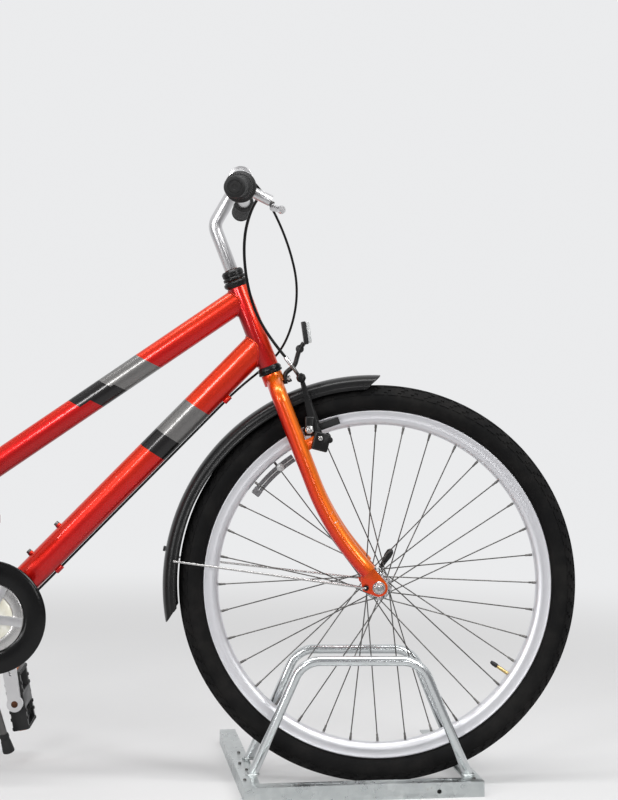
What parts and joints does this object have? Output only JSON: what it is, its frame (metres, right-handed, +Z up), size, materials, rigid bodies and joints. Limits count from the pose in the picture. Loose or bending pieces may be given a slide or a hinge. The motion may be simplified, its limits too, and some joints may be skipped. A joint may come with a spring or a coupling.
{
  "type": "bicycle in a wheel rack",
  "caption": "City bicycle with low top tube, mudguards, twist shifter, front rim brake and kickstand, its front wheel held in a galvanised tube wheel rack.",
  "frame": {"origin": "on the floor below the middle of the overall length, in the bicycle's middle plane", "axes": "+X forward, +Y to the rider's left, +Z up"},
  "size_m": [1.7636, 0.5924, 1.02],
  "materials": {
    "frame_paint": "glossy candy orange-red paint",
    "tyre_rubber": "black rubber, dusty",
    "grip_rubber": "matt black rubber",
    "black_plastic": "satin black plastic",
    "cable_black": "black cable housing",
    "polished_alloy": "silver alloy",
    "bright_steel": "zinc plated steel",
    "galvanised": "galvanised steel",
    "saddle_cover": "black saddle cover",
    "clear_reflector": "clear prismatic plastic",
    "red_reflector": "red prismatic plastic"
  },
  "bodies": {
    "frame": {"head_tube": "frame_paint", "top_tube": "frame_paint", "down_tube": "frame_paint", "seat_tube": "frame_paint", "bottom_bracket_shell": "frame_paint", "chain_stays": "frame_paint", "seat_stays": "frame_paint", "rear_dropouts": "frame_paint", "headset_cups": "black_plastic", "seat_post": "polished_alloy", "seat_clamp": "bright_steel", "saddle_rails": "bright_steel", "saddle": "saddle_cover", "rear_mudguard": "black_plastic", "rear_mudguard_stays": "bright_steel", "rear_axle": "bright_steel", "rear_reflector": "red_reflector", "chain": "bright_steel", "gear_cable": "cable_black", "frame_bosses": "frame_paint", "kickstand_bracket": "bright_steel", "rack_base": "galvanised", "rack_hoops": "galvanised"},
    "steering": {"fork_crown": "frame_paint", "fork_blades": "frame_paint", "headset_locknut": "black_plastic", "stem": "polished_alloy", "handlebar": "polished_alloy", "grips": "grip_rubber", "twist_shifter": "grip_rubber", "brake_bracket": "polished_alloy", "brake_lever": "polished_alloy", "front_brake_arms": "black_plastic", "front_brake_pads": "grip_rubber", "front_brake_cable": "cable_black", "gear_cable_loop": "cable_black", "front_mudguard": "black_plastic", "front_mudguard_stays": "bright_steel", "reflector_bracket": "black_plastic", "front_reflector": "clear_reflector", "front_axle": "bright_steel"},
    "front_wheel": {"front_tyre": "tyre_rubber", "front_rim": "polished_alloy", "front_spokes": "bright_steel", "front_hub": "polished_alloy", "front_spoke_reflector": "clear_reflector"},
    "rear_wheel": {"rear_tyre": "tyre_rubber", "rear_rim": "polished_alloy", "rear_spokes": "bright_steel", "rear_hub": "polished_alloy", "rear_sprocket": "bright_steel", "rear_spoke_reflector": "clear_reflector"},
    "crankset": {"crank_left": "polished_alloy", "crank_right": "polished_alloy", "chainring": "polished_alloy", "chain_guard": "black_plastic"},
    "pedal_left": {"pedal_left": "black_plastic"},
    "pedal_right": {"pedal_right": "black_plastic"},
    "kickstand": {"kickstand_leg": "bright_steel", "kickstand_foot": "grip_rubber"}
  },
  "joints": [
    {"name": "steering", "type": "hinge", "parent": "frame", "child": "steering", "pos_m": [0.35147, 0, 0.74437], "axis": [-0.36, 0, 0.933], "range_deg": [-4.5, 4.5], "deforming": ["gear_cable_loop"]},
    {"name": "front_wheel_spin", "type": "hinge", "parent": "steering", "child": "front_wheel", "pos_m": [0.5528, 0, 0.329], "axis": [0, 1, 0], "continuous": true},
    {"name": "rear_wheel_spin", "type": "hinge", "parent": "frame", "child": "rear_wheel", "pos_m": [-0.5262, 0, 0.329], "axis": [0, 1, 0], "continuous": true},
    {"name": "crank_spin", "type": "hinge", "parent": "frame", "child": "crankset", "pos_m": [-0.0842, 0, 0.28], "axis": [0, 1, 0], "continuous": true},
    {"name": "pedal_left_spin", "type": "hinge", "parent": "crankset", "child": "pedal_left", "pos_m": [-0.05966, 0.143, 0.11178], "axis": [0, 1, 0], "continuous": true},
    {"name": "pedal_right_spin", "type": "hinge", "parent": "crankset", "child": "pedal_right", "pos_m": [-0.10874, -0.143, 0.44822], "axis": [0, 1, 0], "continuous": true},
    {"name": "kickstand_fold", "type": "hinge", "parent": "frame", "child": "kickstand", "pos_m": [-0.1262, 0.035, 0.25], "axis": [0.1188, 0.9675, 0.2234], "range_deg": [0, 105.2]}
  ]
}
